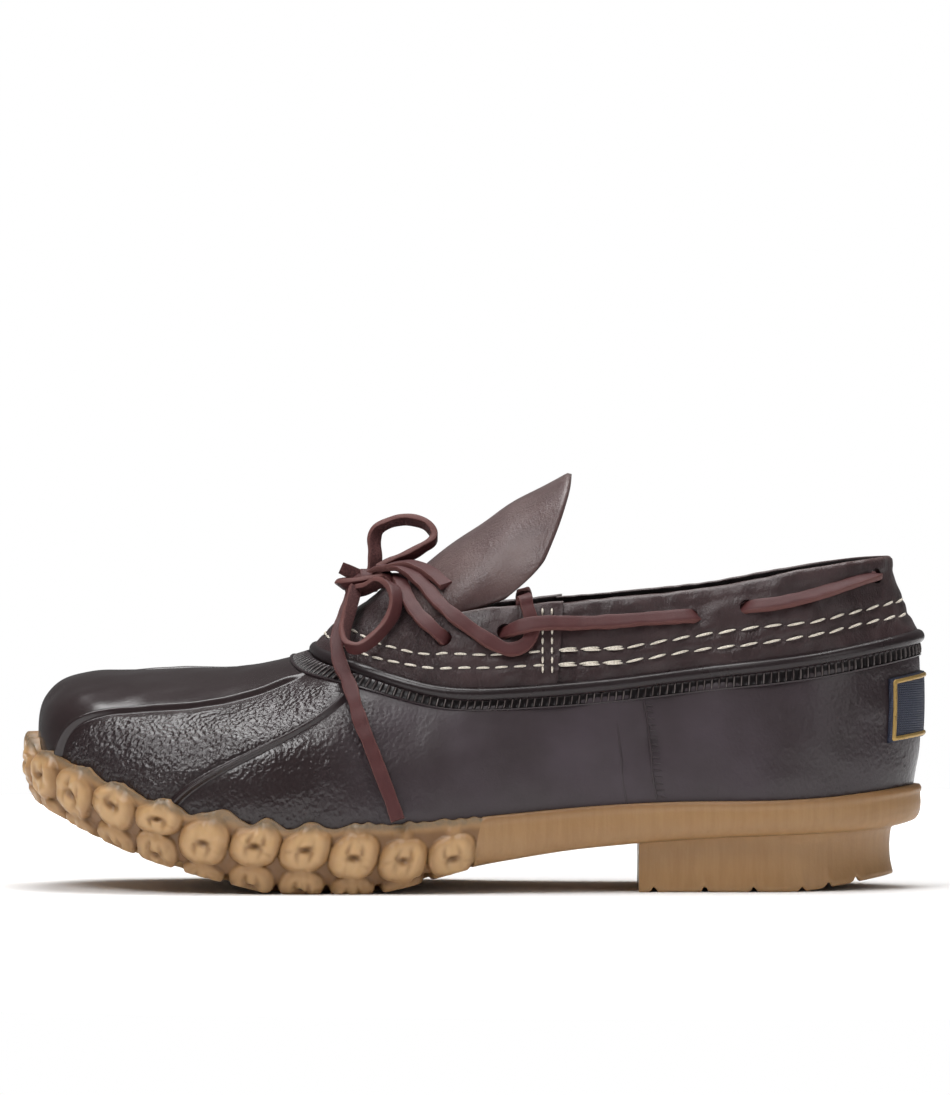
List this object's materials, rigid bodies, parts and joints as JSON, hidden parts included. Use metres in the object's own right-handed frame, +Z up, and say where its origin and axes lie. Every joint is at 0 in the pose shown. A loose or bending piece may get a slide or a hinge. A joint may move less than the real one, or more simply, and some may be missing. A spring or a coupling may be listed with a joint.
{
  "type": "duck boot",
  "caption": "Low duck shoe for the left foot: moulded rubber shell, gum chain-tread sole, leather collar, tongue and tied rawhide lace.",
  "frame": {"origin": "on the floor, in the middle of the heel's flat bottom", "axes": "+Z up, -X towards the toe, +X towards the back of the heel, -Y the outer side of the left foot, +Y the inner side"},
  "size_m": [0.2977, 0.1125, 0.1372],
  "materials": {
    "brown_rubber": "satin, grained in places",
    "gum_rubber": "translucent gum, satin",
    "dark_leather": "smooth waxed leather",
    "tongue_leather": "soft leather with a sheen",
    "rawhide": "flat lace with a rough flesh side",
    "lining": "matt dark lining",
    "navy_patch": "bare navy patch with a gold edge"
  },
  "bodies": {
    "root": {"rubber_shell": "brown_rubber", "outsole": "gum_rubber", "heel_block": "gum_rubber", "vamp": "dark_leather", "collar": "dark_leather", "tongue": "tongue_leather", "insole": "lining", "heel_label": "navy_patch", "lace_collar_rear_outer": "rawhide", "lace_collar_rear_inner": "rawhide", "lace_collar_front_outer": "rawhide", "lace_collar_front_inner": "rawhide", "lace_hitch_outer": "rawhide", "lace_hitch_inner": "rawhide", "lace_crossing": "rawhide", "lace_knot": "rawhide", "lace_loop_upper": "rawhide", "lace_loop_near": "rawhide", "lace_end_long": "rawhide", "lace_end_short": "rawhide"}
  },
  "joints": []
}
